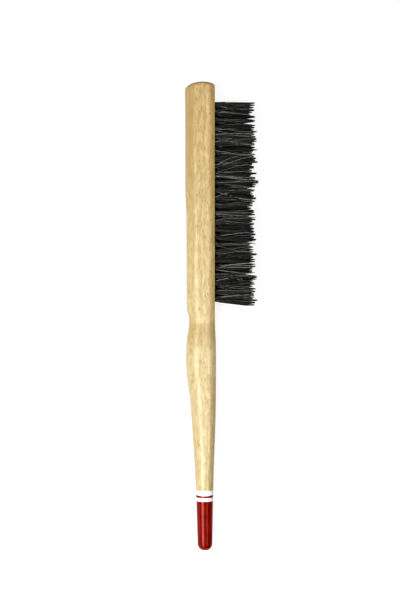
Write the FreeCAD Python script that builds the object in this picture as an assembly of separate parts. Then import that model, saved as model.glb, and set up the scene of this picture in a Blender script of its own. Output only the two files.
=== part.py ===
"""A long-handled body dry brush lying on its side: one piece of beech, with bristle tufts in blind holes.

Frame, in millimetres: +Y runs along the brush towards the end of its head, +X is the way the bristles point,
+Z is up. The origin is below the middle of the whole brush, on the surface that the head's flat side rests
on. Widths across the brush ("back", "front") are measured from the bristle face, + towards the bristles.
"""
import FreeCAD, Part
import math
import os

# ---- driving dimensions ----
LENGTH = 360.0               # over everything
HEAD_DEPTH = 24.0            # between the two flat sides of the head
HEAD_THICKNESS = 23.1        # from the back to the bristle face, at the end of the head
TUFT_LENGTH = 31.0           # bristles, above the bristle face

TUFT_ROWS = 26               # cross rows: two outer tufts, and one between this row and the next
FIRST_ROW_Y = 163.0
LAST_ROW_Y = 13.4
OUTER_TUFT_OFFSET = 6.0      # from the middle line of the face to the outer tufts
HOLE_RADIUS = 2.0
HOLE_DEPTH = 11.0
DRILL_POINT_DEG = 118.0
TUFT_CLEARANCE = 0.05        # between the bundled bristles and the wall of their hole
TUFT_TIP_RADIUS = 2.9
TUFT_SPREAD_HEIGHT = 13.0    # where the bundle has opened to nearly its full width
TUFT_TIP_ROUND = 1.2

ANCHOR_THICKNESS = 0.4       # flat wire, cut to a strip a little longer than the hole is wide
ANCHOR_HEIGHT = 2.2
ANCHOR_LENGTH = 4.8
ANCHOR_LIFT = 1.2            # its lower edge, above the full-width bottom of the hole

LACQUER = 0.2                # thickness of the dipped red coat
BAND_PAINT = 0.12            # thickness of the white bands, which stand proud
RED_STARTS_Y = -136.8        # just under the upper band
UPPER_BAND_Y = (-137.9, -133.8)
UPPER_BAND_SAG = 0.8         # its lower edge is brushed on in an arc, higher by this much at the two sides
LOWER_BAND_Y = (-142.1, -139.2)

END_Y = LENGTH / 2
MID_Z = HEAD_DEPTH / 2
FACE_X = (HEAD_THICKNESS - TUFT_LENGTH) / 2
ROW_PITCH = (FIRST_ROW_Y - LAST_ROW_Y) / (TUFT_ROWS - 1)

# The body's shape. Each station holds: y; back; front; half depth; radius of the back corners; radius of the
# front corners, and how far in from the front they reach. Where the reach is less than the radius, the front
# plane cuts the corner off at an edge, as it does along the planed bristle face.
HEAD_TOP_Y = 173.0
HEAD_FOOT_Y = 9.0
TIP_ROUND_Y = -174.8
HEAD = [
    (HEAD_TOP_Y, -HEAD_THICKNESS, 0.0, MID_Z, 9.0, 9.5, 7.0),
    (155.0, -22.8, 0.0, MID_Z, 9.0, 9.5, 7.0),
    (100.0, -22.75, 0.0, MID_Z, 9.0, 9.5, 7.0),
    (72.0, -21.9, 0.0, MID_Z, 9.0, 9.5, 7.0),
    (HEAD_FOOT_Y, -21.75, 0.0, MID_Z, 9.0, 9.5, 7.0),
]
HANDLE = [
    (HEAD_FOOT_Y, -21.75, 0.0, MID_Z, 9.0, 9.5, 7.0),
    (5.5, -21.5, 0.0, 11.9, 9.0, 9.5, 7.1),
    (1.0, -20.3, 0.05, 11.3, 8.7, 8.9, 7.3),
    (-5.0, -19.95, 0.1, 10.8, 8.5, 8.4, 7.4),
    (-18.0, -21.6, 0.7, 11.3, 9.0, 7.6, 7.4),
    (-32.0, -22.3, 0.95, 11.8, 9.5, 7.2, 7.2),
    (-46.0, -21.35, 0.9, 11.4, 9.5, 7.0, 7.0),
    (-61.0, -19.4, 0.85, 10.5, 9.2, 6.9, 6.9),
    (-84.0, -17.5, 0.45, 9.1, 8.2, 6.7, 6.7),
    (-115.0, -15.5, -0.7, 7.4, 6.9, 6.2, 6.2),
    (-145.0, -14.05, -1.45, 6.2, 5.8, 5.7, 5.7),
    (TIP_ROUND_Y, -13.1, -1.95, 5.4, 5.0, 5.0, 5.0),
]
SECTION_STEP = 4.0           # the longest gap between two sections of a smooth stretch
ROUND_STEPS = 10             # sections over a rounded end

# How the ends are rounded off at the back, the front and both sides: (how far in, over what length).
# At the head's end the back and the front nearly meet, in a low arch.
HEAD_END_ROUNDING = ((12.6, 6.0), (8.4, 3.7), (3.2, 3.4))
TIP_END_ROUNDING = ((4.7, 5.1), (4.7, 5.1), (4.5, 5.1))


def along_the_brush(stations, y):
    """The station values at y, by monotone cubic interpolation, which has no bulge between stations."""
    ys = [s[0] for s in stations]
    span = 0
    while span < len(ys) - 2 and y < ys[span + 1]:
        span += 1
    steps = [ys[i + 1] - ys[i] for i in range(len(ys) - 1)]
    t = (y - ys[span]) / steps[span]
    values = []
    for k in range(1, len(stations[0])):
        column = [s[k] for s in stations]
        rise = [(column[i + 1] - column[i]) / steps[i] for i in range(len(steps))]
        slopes = [0.0]
        for before, after in zip(rise, rise[1:]):
            turns_back = before * after <= 0
            slopes.append(0.0 if turns_back else 2 * before * after / (before + after))
        slopes.append(rise[-1])
        a, b = column[span], column[span + 1]
        ma, mb = slopes[span] * steps[span], slopes[span + 1] * steps[span]
        values.append(
            (2 * t**3 - 3 * t**2 + 1) * a + (t**3 - 2 * t**2 + t) * ma
            + (3 * t**2 - 2 * t**3) * b + (t**3 - t**2) * mb
        )
    return values


def section(y, back, front, half_depth, back_radius, front_radius, front_reach, inset=0.0):
    """A rounded rectangle across the brush, drawn inset by that much on every side."""
    back, front, half = back + inset, front - inset, half_depth - inset
    back_r, front_r, reach = back_radius - inset, front_radius - inset, front_reach - inset
    cut = math.degrees(math.acos(min(1.0, reach / front_r)))
    corners = [
        (front - reach, half - front_r, front_r, cut, 90),
        (back + back_r, half - back_r, back_r, 90, 180),
        (back + back_r, back_r - half, back_r, 180, 270),
        (front - reach, front_r - half, front_r, 270, 360 - cut),
    ]
    arcs = []
    for x, z, r, start, end in corners:
        angles = [math.radians(a) for a in (start, (start + end) / 2, end)]
        arcs.append([
            FreeCAD.Vector(FACE_X + x + r * math.cos(a), y, MID_Z + z + r * math.sin(a)) for a in angles
        ])
    edges = []
    for points, following in zip(arcs, arcs[1:] + arcs[:1]):
        edges.append(Part.Arc(*points).toShape())
        edges.append(Part.LineSegment(points[2], following[0]).toShape())
    return Part.Wire(edges)


def on_true_planes(solid):
    """The same solid, with each face that is flat lying on a plane."""
    faces = []
    for face in solid.Faces:
        plane = face.findPlane()
        faces.append(Part.Face(plane, face.OuterWire) if plane else face)
    shell = Part.makeCompound(faces)
    shell.sewShape()
    return Part.makeSolid(shell.Shells[0])


def smooth_stretch(stations, inset=0.0):
    """A solid lofted smoothly along the stations."""
    wires = []
    for upper, lower in zip(stations, stations[1:]):
        steps = math.ceil((upper[0] - lower[0]) / SECTION_STEP)
        for i in range(steps):
            y = upper[0] + (lower[0] - upper[0]) * i / steps
            wires.append(section(y, *along_the_brush(stations, y), inset))
    last = stations[-1]
    wires.append(section(*last, inset))
    return Part.makeLoft(wires, True, False)


def rounded_end(station, end_y, rounding, inset=0.0):
    """The end beyond a station: sections drawn in along quarter ellipses, their corners in proportion."""
    y, back, front, half_depth, back_radius, front_radius, front_reach = station
    away = math.copysign(1.0, end_y)
    length = abs(end_y - y) - inset
    wires = []
    for i in range(ROUND_STEPS + 1):
        beyond = length * math.sin(math.radians(90 * i / ROUND_STEPS))
        drawn_in = []
        for amount, over in rounding:
            t = max(0.0, (beyond - length) / over + 1)
            drawn_in.append(amount * (1 - math.sqrt(max(0.0, 1 - t * t))))
        in_back, in_front, in_side = drawn_in
        width_left = 1 - (in_back + in_front) / (front - back)
        corners = [width_left * size for size in (back_radius, front_radius, front_reach)]
        wires.append(section(
            y + away * beyond, back + in_back, front - in_front, half_depth - in_side, *corners, inset,
        ))
    return Part.makeLoft(wires, True, False)


def slab(y_low, y_high):
    """Everything between two heights along the brush."""
    size = 2 * HEAD_DEPTH + HEAD_THICKNESS
    corner = FreeCAD.Vector(FACE_X - size, y_low, MID_Z - size)
    return Part.makeBox(2 * size, y_high - y_low, 2 * size, corner)


def handle(inset=0.0):
    """The handle from the foot of the head to its rounded tip, inset by that much all over."""
    stretch = smooth_stretch(HANDLE, inset)
    tip = rounded_end(HANDLE[-1], -END_Y, TIP_END_ROUNDING, inset)
    return stretch.fuse(tip)


def tuft_places():
    """(row, y, z) of every tuft: the outer pair of each row, and the middle one half a pitch further on."""
    places = []
    for row in range(TUFT_ROWS):
        y = FIRST_ROW_Y - row * ROW_PITCH
        places.append((row, y, MID_Z + OUTER_TUFT_OFFSET))
        places.append((row, y, MID_Z - OUTER_TUFT_OFFSET))
        if row < TUFT_ROWS - 1:
            places.append((row, y - ROW_PITCH / 2, MID_Z))
    return places


def turned(outline, y, z):
    """A solid turned about a tuft's axis. The outline holds (height above the face, radius) points."""
    points = [FreeCAD.Vector(FACE_X + height, y + radius, z) for height, radius in outline]
    face = Part.Face(Part.makePolygon(points + points[:1]))
    return face.revolve(FreeCAD.Vector(0, y, z), FreeCAD.Vector(1, 0, 0), 360)


def drilled_hole(y, z):
    """A blind hole with the cone that the drill's point leaves."""
    point = HOLE_RADIUS / math.tan(math.radians(DRILL_POINT_DEG / 2))
    return turned([(-HOLE_DEPTH - point, 0), (-HOLE_DEPTH, HOLE_RADIUS), (1, HOLE_RADIUS), (1, 0)], y, z)


def anchor(y, z):
    """The strip of flat wire that bristles are folded over. It lies across the grain and bites the wood."""
    corner = FreeCAD.Vector(
        FACE_X - HOLE_DEPTH + ANCHOR_LIFT, y - ANCHOR_THICKNESS / 2, z - ANCHOR_LENGTH / 2
    )
    return Part.makeBox(ANCHOR_HEIGHT, ANCHOR_THICKNESS, ANCHOR_LENGTH, corner)


def tuft(y, z):
    """One bundle of bristles: folded over its anchor in the hole, and spreading above the face."""
    root = HOLE_RADIUS - TUFT_CLEARANCE
    outline = [
        (-HOLE_DEPTH, 0),
        (-HOLE_DEPTH, root - ANCHOR_THICKNESS),
        (-HOLE_DEPTH + ANCHOR_THICKNESS, root),
        (0, root),
        (TUFT_SPREAD_HEIGHT / 3, (root + TUFT_TIP_RADIUS) / 2),
        (TUFT_SPREAD_HEIGHT, TUFT_TIP_RADIUS - TUFT_CLEARANCE),
        (TUFT_LENGTH - TUFT_TIP_ROUND, TUFT_TIP_RADIUS),
        (TUFT_LENGTH, TUFT_TIP_RADIUS - TUFT_TIP_ROUND),
        (TUFT_LENGTH, 0),
    ]
    return turned(outline, y, z).cut(anchor(y, z))


def wooden_body():
    """Head and handle in one piece of beech, turned down at the tip for the lacquer, and drilled."""
    head = on_true_planes(smooth_stretch(HEAD))
    head_end = rounded_end(HEAD[0], END_Y, HEAD_END_ROUNDING)
    grip = handle().common(slab(RED_STARTS_Y, END_Y))
    lacquered = handle(LACQUER).common(slab(-END_Y, RED_STARTS_Y))
    cutters = []
    for _, y, z in tuft_places():
        cutters.append(drilled_hole(y, z))
        cutters.append(anchor(y, z))
    return head.fuse([head_end, grip, lacquered]).cut(cutters)


def red_lacquer_tip():
    """The dipped coat, flush with the bare wood above it."""
    return handle().common(slab(-END_Y - 1, RED_STARTS_Y)).cut(handle(LACQUER))


def above_arc(y, sag):
    """Everything above an arc across the handle: lowest in the middle, at y, higher by sag at the sides."""
    back, front = along_the_brush(HANDLE, y)[:2]
    radius = (front - back)**2 / (8 * sag)
    foot = FreeCAD.Vector(FACE_X + (back + front) / 2, y + radius, -HEAD_DEPTH)
    return Part.makeCylinder(radius, 3 * HEAD_DEPTH, foot)


def white_band(heights):
    """A painted ring round the handle."""
    low, high = heights
    return handle(-BAND_PAINT).common(slab(low, high)).cut(handle())


def save(name, solids):
    """Writes one node."""
    shape = solids[0] if len(solids) == 1 else Part.makeCompound(solids)
    shape.exportStep(os.path.join("parts", name + ".step"))


def main():
    os.makedirs("parts", exist_ok=True)
    save("wooden_body", [wooden_body()])
    save("red_lacquer_tip", [red_lacquer_tip()])
    upper_band = white_band(UPPER_BAND_Y).common(above_arc(UPPER_BAND_Y[0], UPPER_BAND_SAG))
    save("upper_white_band", [upper_band])
    save("lower_white_band", [white_band(LOWER_BAND_Y)])
    for row in range(TUFT_ROWS):
        places = [(y, z) for r, y, z in tuft_places() if r == row]
        save("tuft_row_%02d" % (row + 1), [tuft(y, z) for y, z in places])
        save("anchor_row_%02d" % (row + 1), [anchor(y, z) for y, z in places])


main()
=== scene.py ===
"""A long-handled body dry brush lying on its side: lacquered beech, dark bristles and a dipped red tip.

Metres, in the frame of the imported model: +Y towards the head's end, +X the way the bristles point, +Z up.
"""
import math

import bpy
import numpy as np
from mathutils import Matrix, Vector


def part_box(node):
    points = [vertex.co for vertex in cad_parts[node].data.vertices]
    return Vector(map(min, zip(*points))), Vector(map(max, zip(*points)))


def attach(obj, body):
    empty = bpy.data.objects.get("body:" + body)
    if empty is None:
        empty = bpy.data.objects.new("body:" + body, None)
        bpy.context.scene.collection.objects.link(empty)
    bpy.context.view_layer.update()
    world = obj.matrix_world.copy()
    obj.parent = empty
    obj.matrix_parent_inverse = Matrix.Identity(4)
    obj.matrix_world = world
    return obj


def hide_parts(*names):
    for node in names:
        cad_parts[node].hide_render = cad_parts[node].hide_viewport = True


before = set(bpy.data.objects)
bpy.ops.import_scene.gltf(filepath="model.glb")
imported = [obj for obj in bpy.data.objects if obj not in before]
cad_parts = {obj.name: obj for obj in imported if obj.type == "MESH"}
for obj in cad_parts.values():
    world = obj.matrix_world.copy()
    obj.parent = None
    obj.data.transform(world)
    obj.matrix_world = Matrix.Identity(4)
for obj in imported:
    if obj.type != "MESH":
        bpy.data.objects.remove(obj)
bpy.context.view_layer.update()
scene = bpy.context.scene
MM = 0.001

# ---- places read from the frame ----
HOLE_DEPTH = 11.0 * MM       # how far each tuft's solid reaches into the wood
TUFT_RADIUS = 2.9 * MM       # and how wide it is at the tips
ROOT_RADIUS = 1.85 * MM
tuft_rows = sorted(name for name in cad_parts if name.startswith("tuft_row_"))
wood_low, wood_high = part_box("wooden_body")
mid_z = (wood_low.z + wood_high.z) / 2
face_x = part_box(tuft_rows[0])[0].x + HOLE_DEPTH
field_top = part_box(tuft_rows[0])[1].y - TUFT_RADIUS + ROOT_RADIUS
field_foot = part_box(tuft_rows[-1])[0].y + TUFT_RADIUS - ROOT_RADIUS


# ---- the stage ----
CAMERA_DISTANCE = 1.2
PICTURE_HEIGHT = 0.4628      # what the picture's long side spans at the brush's middle plane, in metres
SENSOR = 36.0
BLACK_LEVEL = 0.006          # the picture shows this and anything darker as black
GAMMA = 0.82                 # lower than 1, for a picture with the photograph's stronger contrast
BACKDROP = 0.85              # how bright the room and the floor look
FLOOR_HALF = 8.0
FACE_TO_CAMERA = 11.4 * MM   # how far the camera stands to the back's side of the bristles' face
CAMERA_Y = 12.8 * MM
# Name, place, the point it faces, width and length in metres, and power in watts.
SOFTBOXES = [
    ("key", (-0.38, -0.34, 0.88), (-0.01, -0.15, 0), 0.44, 0.95, 12),
    ("fill", (0.46, -0.05, 0.88), (-0.01, -0.05, 0), 0.34, 1.3, 4),
    ("strip", (0.20, 0.16, 0.88), (-0.01, 0.10, 0), 0.10, 0.5, 1.6),
]


def add_camera():
    """Straight above the brush, so that the brush is upright in the picture."""
    data = bpy.data.cameras.new("camera")
    data.sensor_width = SENSOR
    data.lens = SENSOR * CAMERA_DISTANCE / PICTURE_HEIGHT
    camera = bpy.data.objects.new("camera", data)
    camera.location = (face_x - FACE_TO_CAMERA, CAMERA_Y, mid_z + CAMERA_DISTANCE)
    scene.collection.objects.link(camera)
    scene.camera = camera


def add_softbox(name, place, aim, width, length, power):
    """A rectangular area light at place that faces aim, with its length along the brush."""
    data = bpy.data.lights.new(name, "AREA")
    data.shape = "RECTANGLE"
    data.size, data.size_y = width, length
    data.energy = power
    light = bpy.data.objects.new(name, data)
    light.location = place
    away = (Vector(place) - Vector(aim)).normalized()
    across = Vector((0, 1, 0)).cross(away).normalized()
    along = away.cross(across)
    light.rotation_euler = Matrix((across, along, away)).transposed().to_euler()
    scene.collection.objects.link(light)


def add_room():
    """Light from around the brush: bright low down behind its back, dim on the bristles' side and above."""
    world = bpy.data.worlds.new("studio")
    world.use_nodes = True
    tree = world.node_tree
    towards = add(tree, "SeparateXYZ", {0: add(tree, "TexCoord").outputs["Generated"]}).outputs
    low = spread(tree, towards["Z"], 0.16, 0.34, 1.0, 0.12)
    side = spread(tree, towards["X"], -0.3, 0.5, 1.5, 0.15)
    strength = seen_or_lit(tree, BACKDROP, scaled(tree, low, side))
    tree.links.new(strength, tree.nodes["Background"].inputs["Strength"])
    tree.nodes["Background"].inputs["Color"].default_value = (1, 1, 1, 1)
    scene.world = world


def add_floor():
    """A pale floor that glows a little. It lights the brush less on the bristles' side and beside the tip."""
    corners = [(-FLOOR_HALF, -FLOOR_HALF, 0), (FLOOR_HALF, -FLOOR_HALF, 0),
               (FLOOR_HALF, FLOOR_HALF, 0), (-FLOOR_HALF, FLOOR_HALF, 0)]
    mesh = bpy.data.meshes.new("floor")
    mesh.from_pydata(corners, [], [(0, 1, 2, 3)])
    floor = bpy.data.objects.new("floor", mesh)
    scene.collection.objects.link(floor)
    material, tree, shader = new_material("floor")
    shader.inputs["Base Color"].default_value = (0.2, 0.2, 0.2, 1)
    shader.inputs["Roughness"].default_value = 0.9
    shader.inputs["Emission Color"].default_value = (1, 1, 1, 1)
    place = add(tree, "SeparateXYZ", {0: add(tree, "TexCoord").outputs["Object"]}).outputs
    across = spread(tree, place["X"], -0.25, 0.25, 1.2, 0.3)
    along = spread(tree, place["Y"], -0.17, -0.12, 0.45, 1.0)
    strength = seen_or_lit(tree, BACKDROP, scaled(tree, across, along))
    tree.links.new(strength, shader.inputs["Emission Strength"])
    mesh.materials.append(material)


def seen_or_lit(tree, seen, lit):
    """One value for what the picture shows of the stage, and another for the light it throws on the brush."""
    direct = add(tree, "LightPath").outputs["Is Camera Ray"]
    return add(tree, "Mix", {0: direct, 2: lit, 3: seen}, data_type="FLOAT").outputs[0]


def add_stage():
    """The room, the floor and three softboxes along the brush."""
    add_room()
    add_floor()
    for softbox in SOFTBOXES:
        add_softbox(*softbox)


# ---- materials ----
def new_material(name):
    """An empty Principled material: (material, node tree, shader)."""
    material = bpy.data.materials.new(name)
    material.use_nodes = True
    tree = material.node_tree
    return material, tree, tree.nodes["Principled BSDF"]


def add(tree, kind, inputs=None, **settings):
    """Adds a shader node. An input given as a socket is linked, and any other is set."""
    made = tree.nodes.new("ShaderNode" + kind)
    for key, value in settings.items():
        setattr(made, key, value)
    for key, value in (inputs or {}).items():
        if isinstance(value, bpy.types.NodeSocket):
            tree.links.new(value, made.inputs[key])
        else:
            made.inputs[key].default_value = value
    return made


def in_millimetres(tree, stretch=(1, 1, 1)):
    """The object's own coordinates in millimetres, each axis divided by its stretch."""
    place = add(tree, "TexCoord").outputs["Object"]
    scale = tuple(1 / (MM * s) for s in stretch)
    return add(tree, "Mapping", {"Vector": place, "Scale": scale}).outputs[0]


def noise(tree, vector, size, detail=2.0, roughness=0.5):
    """Noise whose features are about that many units across, from 0 to 1."""
    return add(tree, "TexNoise", {
        "Vector": vector, "Scale": 1 / size, "Detail": detail, "Roughness": roughness,
    }).outputs["Fac"]


def spread(tree, value, low, high, to_low=0.0, to_high=1.0):
    """value between low and high, moved smoothly to between to_low and to_high."""
    return add(tree, "MapRange", {
        "Value": value, "From Min": low, "From Max": high, "To Min": to_low, "To Max": to_high,
    }, interpolation_type="SMOOTHSTEP").outputs["Result"]


def scaled(tree, value, factor):
    """A value times a number or another value."""
    return add(tree, "Math", {0: value, 1: factor}, operation="MULTIPLY").outputs[0]


def mixed(tree, factor, first, second):
    """Two colours mixed by a factor."""
    made = add(tree, "Mix", data_type="RGBA")
    for socket, value in zip((made.inputs[0], made.inputs[6], made.inputs[7]), (factor, first, second)):
        if isinstance(value, bpy.types.NodeSocket):
            tree.links.new(value, socket)
        else:
            socket.default_value = value
    return made.outputs[2]


def bumped(tree, shader, height, distance):
    """Gives the shader a bump: height 0 to 1 stands for that distance."""
    bump = add(tree, "Bump", {"Height": height, "Distance": distance, "Strength": 1.0})
    tree.links.new(bump.outputs["Normal"], shader.inputs["Normal"])


# Small brown marks on the wood's upper side: how far from the bristle face, y and radius, in millimetres.
WOOD_MARKS = [
    (17.8, 9.9, 0.8), (16.8, -9.2, 0.8), (18.3, -20.6, 1.1), (18.7, -26.2, 1.3),
    (18.0, -44.8, 1.0), (17.5, -49.5, 1.6), (15.3, -77.4, 1.2),
]
MARK_DEPTH = 2.2                 # how far below the wood's highest point the marks' middles are
RING_AXIS = (48.0, 0.0, -30.0)   # the tree's middle, in millimetres: outside the piece, as in sawn stock
RING_WIDTH = 3.1
RING_WARP = 9.0                  # how far a ring wanders from round, in millimetres


def growth_rings(tree):
    """0 to 1 across each growth ring, which wanders a little along the tree."""
    warp = noise(tree, in_millimetres(tree, (14, 70, 14)), 1.0, detail=1.0)
    place = add(tree, "VectorMath", {0: in_millimetres(tree), 1: (1, 0, 1)}, operation="MULTIPLY").outputs[0]
    radius = add(tree, "VectorMath", {0: place, 1: RING_AXIS}, operation="DISTANCE").outputs["Value"]
    turns = add(tree, "Math", {0: radius, 1: scaled(tree, warp, RING_WARP)}, operation="ADD").outputs[0]
    wave = add(tree, "Math", {0: scaled(tree, turns, 2 * math.pi / RING_WIDTH)}, operation="SINE").outputs[0]
    return spread(tree, wave, -1, 1)


# The beech's colours: the tones of its soft patches at the head and at the handle, and what is mixed in.
TAN = ((0.485, 0.36, 0.168, 1), (0.60, 0.475, 0.245, 1))
# painted light, in part: the handle's cream is paler than the head's tan, as if more light falls on the
# handle
CREAM = ((0.57, 0.48, 0.275, 1), (0.665, 0.585, 0.375, 1))
RING_BROWN = (0.42, 0.27, 0.10, 1)
GRAIN_BROWN = (0.40, 0.27, 0.10, 1)
FLECK_BROWN = (0.27, 0.145, 0.05, 1)
MARK_BROWN = (0.34, 0.24, 0.07, 1)
# painted shade: the wood's long edge beside the bristles, drawn darker where its surface turns away from the
# light
BRISTLE_EDGE_SHADE_BROWN = (0.37, 0.225, 0.055, 1)
# painted shade: the back's long edge, drawn darker where it turns away, most on the head
BACK_EDGE_SHADE_BROWN = (0.38, 0.27, 0.115, 1)
# painted shade: a darker band on the belly's upper slope, just below the waist
SLOPE_SHADE_BROWN = (0.42, 0.29, 0.115, 1)
# the head's end grain: its own darker tone, made darker still as painted shade on the rounded end
END_GRAIN_AND_SHADE_BROWNS = ((0.13, 0.075, 0.026, 1), (0.27, 0.17, 0.07, 1))
# How large the features of its patterns are across, along and down through the brush, in millimetres.
PATCHES = (2.2, 8.0, 2.2)
GRAIN = (0.9, 9.0, 0.9)
FLECKS = (1.5, 4.6, 1.5)
SWARMS = (5, 14, 5)
PORES = (0.3, 3.0, 0.3)
# Where along the brush its tones and its painted light and shade change, as y in millimetres.
HEAD_TO_HANDLE = (175.0, -100.0)
WAIST = (-3.6, -6.4)
SLOPE_FADES = (-27.0, -15.0)
BELLY_FADES = (-57.0, -37.0)
BACK_EDGE_DARKENS = (40.0, 150.0)


def grained(tree, grain, down):
    """The wood's ground colour, from tan at the head to a paler cream at the handle that is partly painted
    light, with rings and fine grain.
    """
    patches = noise(tree, in_millimetres(tree, PATCHES), 1.0, detail=2.0)
    tone = spread(tree, patches, 0.34, 0.66)
    # painted light, in part: the blend from tan to paler cream down the brush stands in for more light on the
    # handle
    colour = mixed(tree, down, mixed(tree, tone, *TAN), mixed(tree, tone, *CREAM))
    colour = mixed(tree, scaled(tree, growth_rings(tree), 0.16), colour, RING_BROWN)
    streaks = scaled(tree, spread(tree, grain, 0.42, 0.72), spread(tree, down, 0.2, 0.6, 0.68, 0.5))
    return mixed(tree, streaks, colour, GRAIN_BROWN)


def flecked(tree, colour):
    """Adds beech's short dark ray flecks, in swarms, and the few larger marks."""
    cells = add(tree, "TexVoronoi", {"Vector": in_millimetres(tree, FLECKS), "Scale": 1.0})
    fleck = spread(tree, cells.outputs["Distance"], 0.34, 0.12)
    swarm = spread(tree, noise(tree, in_millimetres(tree, SWARMS), 1.0), 0.4, 0.6, 0.2, 0.58)
    colour = mixed(tree, scaled(tree, fleck, swarm), colour, FLECK_BROWN)
    for depth, y, radius in WOOD_MARKS:
        middle = (face_x / MM - depth, y, wood_high.z / MM - MARK_DEPTH)
        reach = add(tree, "VectorMath", {0: in_millimetres(tree), 1: middle}, operation="DISTANCE")
        mark = spread(tree, reach.outputs["Value"], radius * 1.8, radius * 0.4, 0, 0.5)
        colour = mixed(tree, mark, colour, MARK_BROWN)
    return colour


def painted_shade_and_end_grain(tree, colour, y, grain):
    """Painted shade along both long edges and below the waist, and on the head's end darker end grain, partly
    its own tone and partly painted shade.
    """
    facing = add(tree, "SeparateXYZ", {0: add(tree, "TexCoord").outputs["Normal"]}).outputs
    below_waist = spread(tree, y, *WAIST)
    belly = scaled(tree, below_waist, spread(tree, y, *BELLY_FADES))
    # painted shade: darker where the surface turns towards the bristles, less so on the belly
    bristle_edge_shade = spread(tree, facing["X"], 0.28, 0.5, 0, 0.34)
    less_on_belly = spread(tree, belly, 0, 1, 1.0, 0.25)
    colour = mixed(tree, scaled(tree, bristle_edge_shade, less_on_belly), colour, BRISTLE_EDGE_SHADE_BROWN)
    # painted shade along the back's edge, stronger towards the head's end
    back_edge_shade = spread(tree, facing["X"], -0.12, -0.4)
    more_on_head = spread(tree, y, *BACK_EDGE_DARKENS, 0.25, 0.7)
    colour = mixed(tree, scaled(tree, back_edge_shade, more_on_head), colour, BACK_EDGE_SHADE_BROWN)
    # painted shade on the belly's upper slope, from the waist fading out further down
    slope_shade = scaled(tree, below_waist, spread(tree, y, *SLOPE_FADES, 0, 0.42))
    colour = mixed(tree, slope_shade, colour, SLOPE_SHADE_BROWN)
    # partly real end grain, partly painted shade: faces turned towards the head's end are darkest
    end_grain_and_shade = mixed(tree, scaled(tree, growth_rings(tree), grain), *END_GRAIN_AND_SHADE_BROWNS)
    return mixed(tree, spread(tree, facing["Y"], 0.4, 0.85, 0, 0.8), colour, end_grain_and_shade)


def beech():
    """Pale beech, with its patches, rings, grain, flecks and marks, and with painted light and shade, under
    satin lacquer.
    """
    material, tree, shader = new_material("beech")
    y = add(tree, "SeparateXYZ", {0: in_millimetres(tree)}).outputs["Y"]
    grain = noise(tree, in_millimetres(tree, GRAIN), 1.0, detail=3.0, roughness=0.65)
    colour = grained(tree, grain, spread(tree, y, *HEAD_TO_HANDLE))
    colour = painted_shade_and_end_grain(tree, flecked(tree, colour), y, grain)
    tree.links.new(colour, shader.inputs["Base Color"])
    tree.links.new(spread(tree, grain, 0.3, 0.7, 0.40, 0.52), shader.inputs["Roughness"])
    shader.inputs["Specular IOR Level"].default_value = 0.0
    shader.inputs["Coat Weight"].default_value = 1.0
    shader.inputs["Coat Roughness"].default_value = 0.32
    shader.inputs["Coat IOR"].default_value = 1.45
    pores = noise(tree, in_millimetres(tree, PORES), 1.0, detail=3.0)
    bumped(tree, shader, pores, 0.05 * MM)
    return material


# The two shades that each paint is mottled with, and the tint of its gloss.
REDS = ((0.17, 0.003, 0.0015, 1), (0.26, 0.006, 0.003, 1))
RED_GLOSS = (1.0, 0.45, 0.4, 1)
WHITES = ((0.80, 0.78, 0.73, 1), (0.87, 0.86, 0.83, 1))
WHITE_GLOSS = (1.0, 1.0, 1.0, 1)


def lacquer(name, dark, light, wave_height, roughness, gloss_tint):
    """Glossy dipped paint: faint mottling, and a surface that is not quite even along the handle."""
    material, tree, shader = new_material(name)
    mottle = noise(tree, in_millimetres(tree, (1, 3, 1)), 2.5, detail=3.0)
    tree.links.new(mixed(tree, spread(tree, mottle, 0.35, 0.7), dark, light), shader.inputs["Base Color"])
    fine = noise(tree, in_millimetres(tree), 0.8, detail=2.0)
    tree.links.new(spread(tree, fine, 0.3, 0.7, roughness, roughness + 0.08), shader.inputs["Roughness"])
    shader.inputs["IOR"].default_value = 1.45
    shader.inputs["Specular IOR Level"].default_value = 0.7
    shader.inputs["Specular Tint"].default_value = gloss_tint
    waves = noise(tree, in_millimetres(tree, (1, 2.2, 1)), 3.0, detail=2.0)
    bumped(tree, shader, waves, wave_height)
    return material


def drawn_wire():
    """Flat drawn steel: fine lines along the wire."""
    material, tree, shader = new_material("anchor_wire")
    lines = noise(tree, in_millimetres(tree, (0.05, 0.05, 3)), 1.0, detail=2.0)
    tint = mixed(tree, lines, (0.50, 0.49, 0.46, 1), (0.62, 0.61, 0.58, 1))
    tree.links.new(tint, shader.inputs["Base Color"])
    tree.links.new(spread(tree, lines, 0.3, 0.7, 0.25, 0.4), shader.inputs["Roughness"])
    shader.inputs["Metallic"].default_value = 1.0
    bumped(tree, shader, lines, 0.005 * MM)
    return material


def bristle():
    """Dark hair: each has its own shade, a little uneven along its length, with a satin skin."""
    material, tree, shader = new_material("bristle")
    shade = add(tree, "Attribute", attribute_name="shade").outputs["Color"]
    blotches = noise(tree, in_millimetres(tree, (2.4, 0.5, 0.5)), 1.0, detail=2.0)
    tree.links.new(
        mixed(tree, spread(tree, blotches, 0.3, 0.7, 0.0, 0.6), shade, (0.016, 0.016, 0.015, 1)),
        shader.inputs["Base Color"],
    )
    tree.links.new(spread(tree, blotches, 0.3, 0.7, 0.36, 0.55), shader.inputs["Roughness"])
    scales = noise(tree, in_millimetres(tree, (0.12, 0.3, 0.3)), 1.0)
    bumped(tree, shader, scales, 0.01 * MM)
    shader.inputs["Specular IOR Level"].default_value = 0.4
    return material


def dress(node, material):
    """Puts a material on all of a CAD node's slots."""
    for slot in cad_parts[node].material_slots:
        slot.material = material


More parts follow.
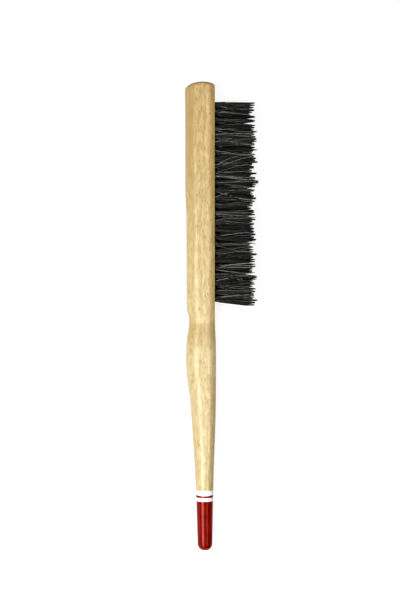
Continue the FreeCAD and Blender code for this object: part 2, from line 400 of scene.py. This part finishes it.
# ---- bristles ----
SEED = 20
HAIRS_PER_TUFT = 70
HAIR_RADIUS = 0.21 * MM
HAIR_SIDES = 5
THICKNESS_VARIES = (0.85, 1.15)
TIP_THICKNESS = 0.65         # against the rest of the hair
TIP_LENGTH = 0.08 * MM       # how far the middle of a hair's blunt end stands out
SUNK = 1.0 * MM              # how far below the face a hair's drawn part starts
HAIR_LENGTH = 29.9 * MM
LENGTH_VARIES = 0.3 * MM
SPREAD = 1.55                # a tuft's width at the tips, against its width at the face
TUFT_LEAN = 0.35 * MM        # how far a whole tuft's tips stray
BOW = 0.4 * MM               # how far a hair's middle strays to one side
WANDER = 0.2 * MM            # how far it does to one side and then the other
FOOT_SPLAY = 3.0 * MM        # how far the field's last bristles lean out at their tips
FOOT_SPLAY_REACH = 2.2 * MM  # how fast that falls off up the field
FOOT_SPLAY_DONE = 0.8        # how far up the hairs it is complete
HEAD_DRAW_IN = 0.5 * MM      # how far the field's first bristles lean in
PARTING_SHARE = 0.15         # half the width of a deep parting at the tips, against its depth
CROSSING = 4                 # how much faster the hairs may cross again below a deep parting than it narrows
TURNED_BACK = 0.8 * MM       # how far past a parting a hair may head before it turns back from it
FAN = 1 / CAMERA_DISTANCE    # the tip groups stand a little askew up the field, by this much for each metre
TOP_LIFT = 0.75 * MM         # the first row's upper tuft, in that fan, above field_top
STRAIGHTER_ENDS = 5 * MM     # within this of the field's two ends the hairs bend less
ROOT_JITTER = 0.05 * MM
SIDE_MARGIN = 0.5 * MM       # how far inside the wood's two sides the hairs stay
TOP_HAIRS = 0.9 * MM         # the hairs this near the top are near black and cut shorter
TOP_CUT = (1.5, 4.5)         # by between these, in millimetres
OPENING = 1.7                # how soon a tuft opens out: 1 is evenly along its hairs
GATHERING = 0.76             # how far up the hairs the tips start to gather
# How far up a hair the rings of its tube are, closer together where the tips gather.
RINGS = np.array([0.0, 0.07, 0.17, 0.3, 0.45, 0.6, 0.74, 0.84, 0.91, 0.96, 1.0])

# The groups that the tips gather into, in millimetres.
GROUP_COUNT = 130
GROUP_WIDTHS = (0.9, 2.8)
GROUP_LENGTH_VARIES = 1.5
GROUP_PULLS = (0.35, 0.8)    # how much of the way to the middle of its group a tip moves
CLEAR_OF_PARTING = 0.7       # no other edge of a group is nearer than this to a deep parting
LONG_BESIDE_PARTING = 0.5    # the groups beside one, and the field's last, are at least this much longer
TOP_GROUPS = 4.0             # the groups this near the top vary less in length
TOP_GROUP_LENGTHS = (-0.8, 0.2)
# Where the bristle tips part deeply: distance below the top of the field, and depth, in millimetres.
DEEP_PARTINGS = [
    (12.3, 6.0), (15.9, 8.0), (35.5, 3.5), (59.4, 3.5), (66.0, 6.0), (74.9, 3.5),
    (87.4, 5.5), (107.4, 6.0), (123.4, 4.5), (132.2, 7.5),
]
# Near black, dark grey and pale hairs: the share of each, the range of its reflectance, and how far a hair's
# tip strays from its place in the tuft. The pale ones lie across their neighbours.
# painted highlight, in part: the pale hairs stand partly for glints along the bristles and partly for lighter
# hairs
HAIR_KINDS = [(0.70, 0.003, 0.014, 1.1 * MM), (0.20, 0.027, 0.075, 1.8 * MM), (0.10, 0.14, 0.46, 3.6 * MM)]
HAIR_TINT = (0.985, 1.015, 0.89)


def tuft_places(node):
    """(y, z) of each tuft in a row: an outer pair, and in all but the last row one between them."""
    low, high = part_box(node)
    first_y = high.y - TUFT_RADIUS
    places = [(first_y, high.z - TUFT_RADIUS), (first_y, low.z + TUFT_RADIUS)]
    has_a_third = high.y - low.y > 2.5 * TUFT_RADIUS
    if has_a_third:
        places.append((low.y + TUFT_RADIUS, (low.z + high.z) / 2))
    return places


class TipGroups:
    """The narrow groups that the tips gather into, at the same heights right across the brush."""

    def __init__(self, rng):
        self.deep = np.array([field_top - below * MM for below, _ in DEEP_PARTINGS])
        self.deep_by = np.array([depth * MM for _, depth in DEEP_PARTINGS])
        widths = rng.uniform(*GROUP_WIDTHS, GROUP_COUNT) * MM
        edges = field_foot - 2 * FOOT_SPLAY + np.cumsum(widths)
        keep = [edge for edge in edges if abs(self.deep - edge).min() > CLEAR_OF_PARTING * MM]
        self.edges = np.sort(np.concatenate([keep, self.deep]))
        self.middles = (self.edges[1:] + self.edges[:-1]) / 2
        self.longer = rng.normal(0, GROUP_LENGTH_VARIES, len(self.middles)) * MM
        beside_deep = np.isin(self.edges[1:], self.deep) | np.isin(self.edges[:-1], self.deep)
        marked = beside_deep | (self.middles < field_foot)
        self.longer[marked] = np.maximum(self.longer[marked], LONG_BESIDE_PARTING * MM)
        at_the_top = self.middles > field_top - TOP_GROUPS * MM
        shortest, longest = TOP_GROUP_LENGTHS
        self.longer[at_the_top] = np.clip(self.longer[at_the_top], shortest * MM, longest * MM)
        self.pull = rng.uniform(*GROUP_PULLS, len(self.middles))

    def kept_in(self, start, y, z, share, length):
        """y moved out of the deep partings, to the side that the root is on, and into the field.

        share: how far up the hair each place is, 0 to 1.
        """
        for middle, depth in zip(self.deep, self.deep_by):
            side = np.sign(fanned(start[:, 0], start[:, 1]) - middle)[:, None]
            line = unfanned(middle, z)
            half_width = PARTING_SHARE * (depth - (1 - share) * length) + HAIR_RADIUS
            half_width = np.where(half_width > 0, half_width, CROSSING * half_width)
            y = line + side * np.maximum(side * (y - line), half_width)
        foot = field_foot - FOOT_SPLAY * np.minimum(share / FOOT_SPLAY_DONE, 1)
        top = field_top + TOP_LIFT - HEAD_DRAW_IN * share
        return np.clip(y, unfanned(foot, z), unfanned(top, z))

    def gathered(self, y, z):
        """(how far a tip at y, z moves towards the middle of its group, how much longer the group is)."""
        along = fanned(y, z)
        group = np.clip(np.searchsorted(self.edges, along) - 1, 0, len(self.middles) - 1)
        return (self.middles[group] - along) * self.pull[group], self.longer[group]


def fanned(y, z):
    """How far along the field a point is, in the fan of the tip groups."""
    return field_foot + (y - field_foot) * (1 + FAN * (z - mid_z))


def unfanned(along, z):
    """The y of a point that far along the field."""
    return field_foot + (along - field_foot) / (1 + FAN * (z - mid_z))


def between_the_sides(z):
    """z moved inside the wood's two sides."""
    return np.clip(z, wood_low.z + SIDE_MARGIN, wood_high.z - SIDE_MARGIN)


def shades(rng, kind):
    """A colour for each hair."""
    darkest = np.array([low for _, low, _, _ in HAIR_KINDS])[kind]
    palest = np.array([high for _, _, high, _ in HAIR_KINDS])[kind]
    grey = darkest * (palest / darkest) ** rng.random(len(kind))
    return grey[:, None] * HAIR_TINT * (1 + rng.normal(0, 0.04, (len(kind), 3)))


def in_the_hole(rng):
    """(y, z) of each hair's root from the middle of its hole, packed as evenly as a sunflower's seeds."""
    order = np.arange(HAIRS_PER_TUFT) + 0.5
    radius = (ROOT_RADIUS - HAIR_RADIUS) * np.sqrt(order / HAIRS_PER_TUFT)
    angle = order * math.pi * (3 - math.sqrt(5)) + rng.uniform(0, 2 * math.pi)
    spiral = np.stack([radius * np.cos(angle), radius * np.sin(angle)], 1)
    return spiral + rng.normal(0, ROOT_JITTER, spiral.shape)


def spread_tips(rng, kind, root, middle):
    """(y, z) of each hair's tip, before the tips gather. The field's last hairs lean out."""
    stray = np.array([stray for _, _, _, stray in HAIR_KINDS])[kind][:, None]
    tip = middle + root * SPREAD + rng.normal(0, TUFT_LEAN, 2)
    tip += rng.normal(0, 1, root.shape) * stray
    tip[:, 0] -= FOOT_SPLAY * np.exp((field_foot - middle[0] - root[:, 0]) / FOOT_SPLAY_REACH)
    tip[:, 1] = between_the_sides(tip[:, 1])
    return tip


def bends(rng, root, middle):
    """How each hair's line strays from straight: (hairs, rings, 2), less at the two ends of the field."""
    count = len(root)
    y = middle[0] + root[:, 0]
    inside = np.clip(np.minimum(field_top - y, y - field_foot) / STRAIGHTER_ENDS, 0.1, 1.0)[:, None]
    bow = rng.normal(0, BOW, (count, 2)) * inside
    wander = rng.normal(0, WANDER, (count, 2)) * inside
    t = RINGS[None, :, None]
    return bow[:, None, :] * np.sin(math.pi * t) + wander[:, None, :] * np.sin(2 * math.pi * t)


def tuft_hairs(rng, groups, y, z):
    """One tuft's hairs: their centre lines (hairs, rings, 3) and their colours (hairs, 3)."""
    count = HAIRS_PER_TUFT
    middle = np.array([y, z])
    root = in_the_hole(rng)
    start = middle + root
    kind = rng.choice(len(HAIR_KINDS), count, p=[share for share, _, _, _ in HAIR_KINDS])
    at_the_top = field_top - start[:, 0] < TOP_HAIRS
    kind[at_the_top] = 0
    end = spread_tips(rng, kind, root, middle)
    beside = groups.kept_in(start, end[:, :1], end[:, 1:], 1.0, 0.0)[:, 0]
    end[:, 0] = beside + np.clip(end[:, 0] - beside, -TURNED_BACK, TURNED_BACK)
    gather, longer = groups.gathered(beside, end[:, 1])
    length = HAIR_LENGTH + longer + rng.normal(0, LENGTH_VARIES, count)
    length -= at_the_top * rng.uniform(*TOP_CUT, count) * MM
    t = RINGS[None, :]
    opening = 1 - (1 - t[:, :, None]) ** OPENING
    across = start[:, None, :] + (end - start)[:, None, :] * opening + bends(rng, root, middle)
    across[:, :, 0] += gather[:, None] * np.clip((t - GATHERING) / (1 - GATHERING), 0, 1) ** 1.2
    across[:, :, 1] = between_the_sides(across[:, :, 1])
    across[:, :, 0] = groups.kept_in(start, across[:, :, 0], across[:, :, 1], t, length[:, None])
    out = face_x - SUNK + (length + SUNK)[:, None] * t
    return np.concatenate([out[:, :, None], across], 2), shades(rng, kind)


def add_row(rng, groups, row, material):
    """One cross row of tufts as a mesh of separate hairs: tubes of five sides, each with a blunt end."""
    tufts = [tuft_hairs(rng, groups, y, z) for y, z in tuft_places(row)]
    paths = np.concatenate([lines for lines, _ in tufts])
    count, rings = len(paths), len(RINGS)
    turn = np.arange(HAIR_SIDES) * 2 * math.pi / HAIR_SIDES
    narrowing = np.where(RINGS == 1.0, TIP_THICKNESS, 1.0)
    thick = HAIR_RADIUS * rng.uniform(*THICKNESS_VARIES, count)[:, None] * narrowing[None, :]
    circle = np.stack([np.zeros(HAIR_SIDES), np.cos(turn), np.sin(turn)], 1)
    walls = paths[:, :, None, :] + thick[:, :, None, None] * circle[None, None, :, :]
    ends = paths[:, -1, :] + (TIP_LENGTH, 0, 0)
    points = np.concatenate([walls.reshape(count, -1, 3), ends[:, None, :]], 1)
    per_hair = rings * HAIR_SIDES + 1
    one_hair = [tuple(reversed(range(HAIR_SIDES)))]
    for ring in range(rings - 1):
        for side in range(HAIR_SIDES):
            a, b = ring * HAIR_SIDES + side, ring * HAIR_SIDES + (side + 1) % HAIR_SIDES
            one_hair.append((a, b, b + HAIR_SIDES, a + HAIR_SIDES))
    top = (rings - 1) * HAIR_SIDES
    one_hair += [(top + side, top + (side + 1) % HAIR_SIDES, per_hair - 1) for side in range(HAIR_SIDES)]
    faces = [tuple(i + hair * per_hair for i in face) for hair in range(count) for face in one_hair]
    mesh = bpy.data.meshes.new(row.replace("tuft", "bristle"))
    mesh.from_pydata(points.reshape(-1, 3).tolist(), [], faces)
    mesh.polygons.foreach_set("use_smooth", [True] * len(mesh.polygons))
    shade = mesh.attributes.new("shade", "FLOAT_COLOR", "POINT")
    colours = np.ones((count, per_hair, 4))
    colours[:, :, :3] = np.concatenate([colours for _, colours in tufts])[:, None, :]
    shade.data.foreach_set("color", colours.ravel())
    mesh.materials.append(material)
    piece = bpy.data.objects.new(mesh.name, mesh)
    scene.collection.objects.link(piece)
    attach(piece, "root")
    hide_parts(row)


def add_bristles():
    """All the rows, from the head's end down."""
    rng = np.random.default_rng(SEED)
    groups = TipGroups(rng)
    material = bristle()
    for row in tuft_rows:
        add_row(rng, groups, row, material)


# ---- the whole ----
scene.view_settings.view_transform = "Standard"
scene.view_settings.gamma = GAMMA
scene.view_settings.use_curve_mapping = True
scene.view_settings.curve_mapping.black_level = (BLACK_LEVEL,) * 3
add_camera()
add_stage()
dress("wooden_body", beech())
red_lacquer = lacquer("red_lacquer", *REDS, wave_height=0.04 * MM, roughness=0.16, gloss_tint=RED_GLOSS)
white_paint = lacquer("white_paint", *WHITES, wave_height=0.02 * MM, roughness=0.3, gloss_tint=WHITE_GLOSS)
dress("red_lacquer_tip", red_lacquer)
dress("upper_white_band", white_paint)
dress("lower_white_band", white_paint)
wire = drawn_wire()
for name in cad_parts:
    if name.startswith("anchor_row_"):
        dress(name, wire)
add_bristles()
